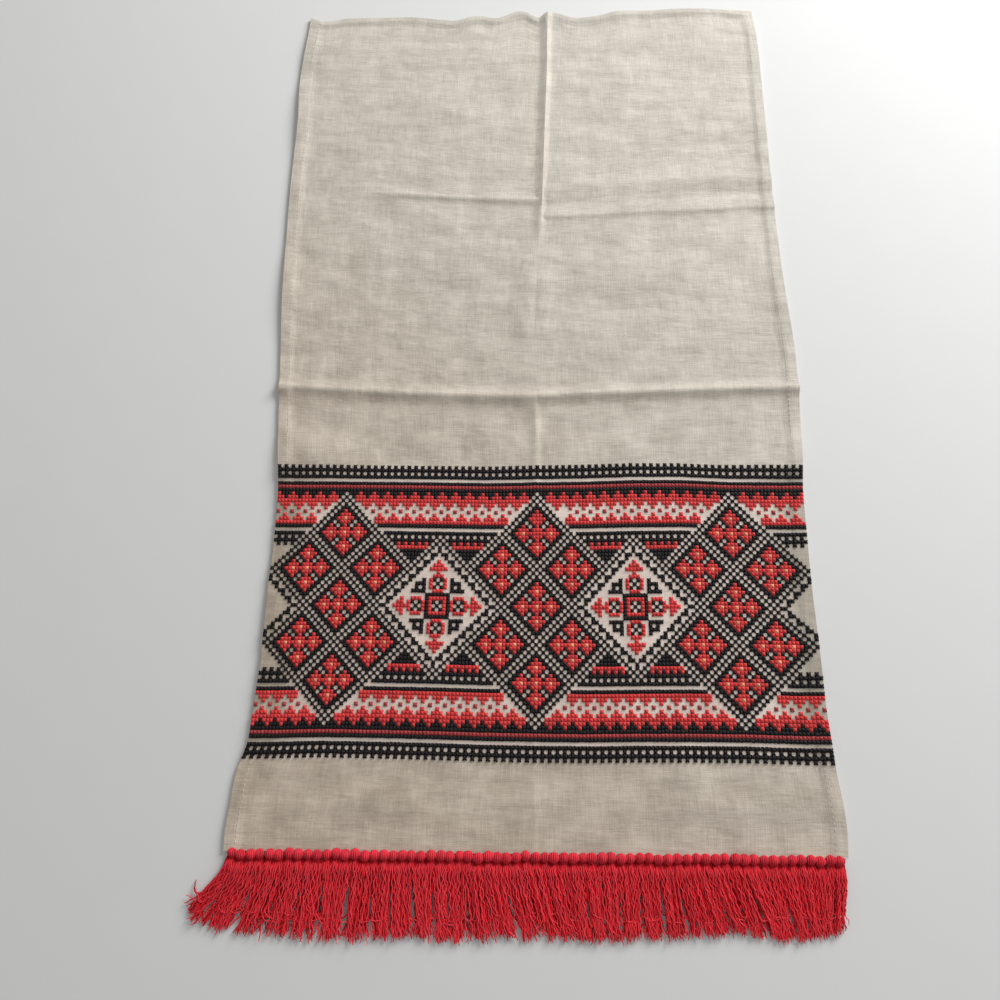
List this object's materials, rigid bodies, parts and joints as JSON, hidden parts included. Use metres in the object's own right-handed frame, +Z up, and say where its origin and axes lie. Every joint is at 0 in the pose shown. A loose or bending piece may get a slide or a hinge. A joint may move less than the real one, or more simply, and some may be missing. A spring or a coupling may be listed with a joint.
{
  "type": "ritual towel",
  "caption": "Rushnyk ritual towel laid flat: hemmed linen panel with fold creases, a cross-stitch band near one end and a knotted yarn fringe.",
  "frame": {"origin": "on the flat underside, midway along the panel, beside the crease that runs along it", "axes": "+X across the towel to the right, +Y along it from the fringed end to the plain end, +Z up from the table"},
  "size_m": [0.4028, 0.7127, 0.0049],
  "materials": {
    "linen": "plain-weave unbleached linen, matte",
    "red_yarn": "soft twisted wool yarn, matte"
  },
  "bodies": {
    "root": {"cloth": "linen", "fringe": "red_yarn"}
  },
  "joints": []
}
